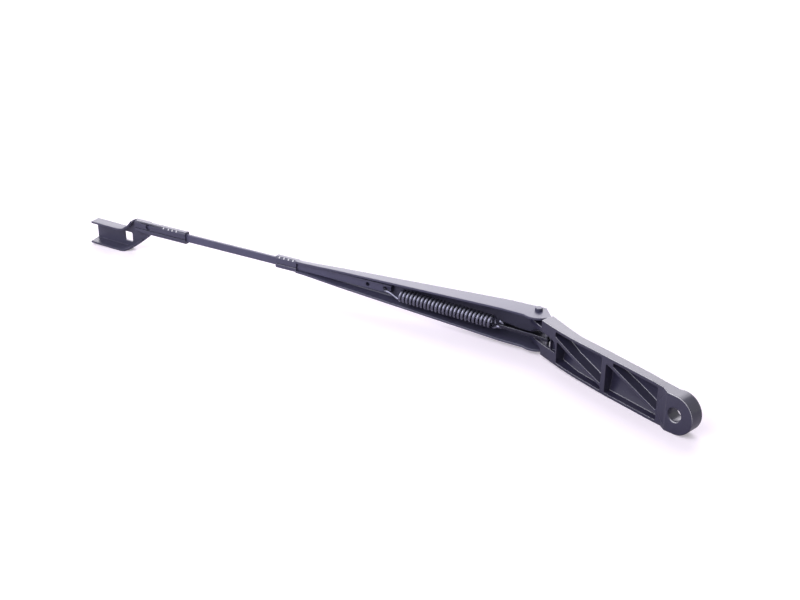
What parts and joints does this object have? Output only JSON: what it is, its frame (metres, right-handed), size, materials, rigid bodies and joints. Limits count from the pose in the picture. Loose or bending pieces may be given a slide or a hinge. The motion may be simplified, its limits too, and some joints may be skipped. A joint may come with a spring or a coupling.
{
  "type": "wiper arm",
  "caption": "Windscreen wiper arm with a truss head, folding channel arm, tension spring, flat rod and stepped blade bracket.",
  "frame": {"origin": "spindle bore axis at the mouth of its straight wall", "axes": "+Z along the spindle bore away from the glass, +X towards the blade"},
  "size_m": [0.5699, 0.0406, 0.1415],
  "materials": {
    "head_paint": "satin black paint over die casting",
    "bush": "dark moulded bush",
    "pin_steel": "plain steel",
    "arm_paint": "satin black paint over pressed steel",
    "rivet_paint": "satin black paint over steel",
    "rod_paint": "satin black paint over steel bar",
    "bracket_paint": "satin black paint over pressed steel",
    "link_steel": "worn zinc-plated steel",
    "spring_steel": "drawn spring wire"
  },
  "bodies": {
    "head": {"arm_head": "head_paint", "hinge_bush": "bush", "hook_pin": "pin_steel"},
    "arm": {"arm_channel": "arm_paint", "hinge_rivet": "rivet_paint", "arm_rod": "rod_paint", "blade_bracket": "bracket_paint"},
    "spring_line": {"hook_link": "link_steel", "tension_spring": "spring_steel"}
  },
  "joints": [
    {"name": "arm_fold", "type": "hinge", "parent": "head", "child": "arm", "pos_m": [0.1468, 0, 0.0294], "axis": [0, -1, 0], "range_deg": [0, 45], "stiffness_Nm_per_rad": 0.25, "springref_deg": -34.38},
    {"name": "link_swing", "type": "hinge", "parent": "head", "child": "spring_line", "pos_m": [0.1305, 0, 0.0209], "axis": [0, -1, 0], "range_deg": [0, 41], "deforming": ["tension_spring"]}
  ],
  "couplings": [
    {"joint": "link_swing", "follows": "arm_fold", "ratio": 0.886}
  ]
}
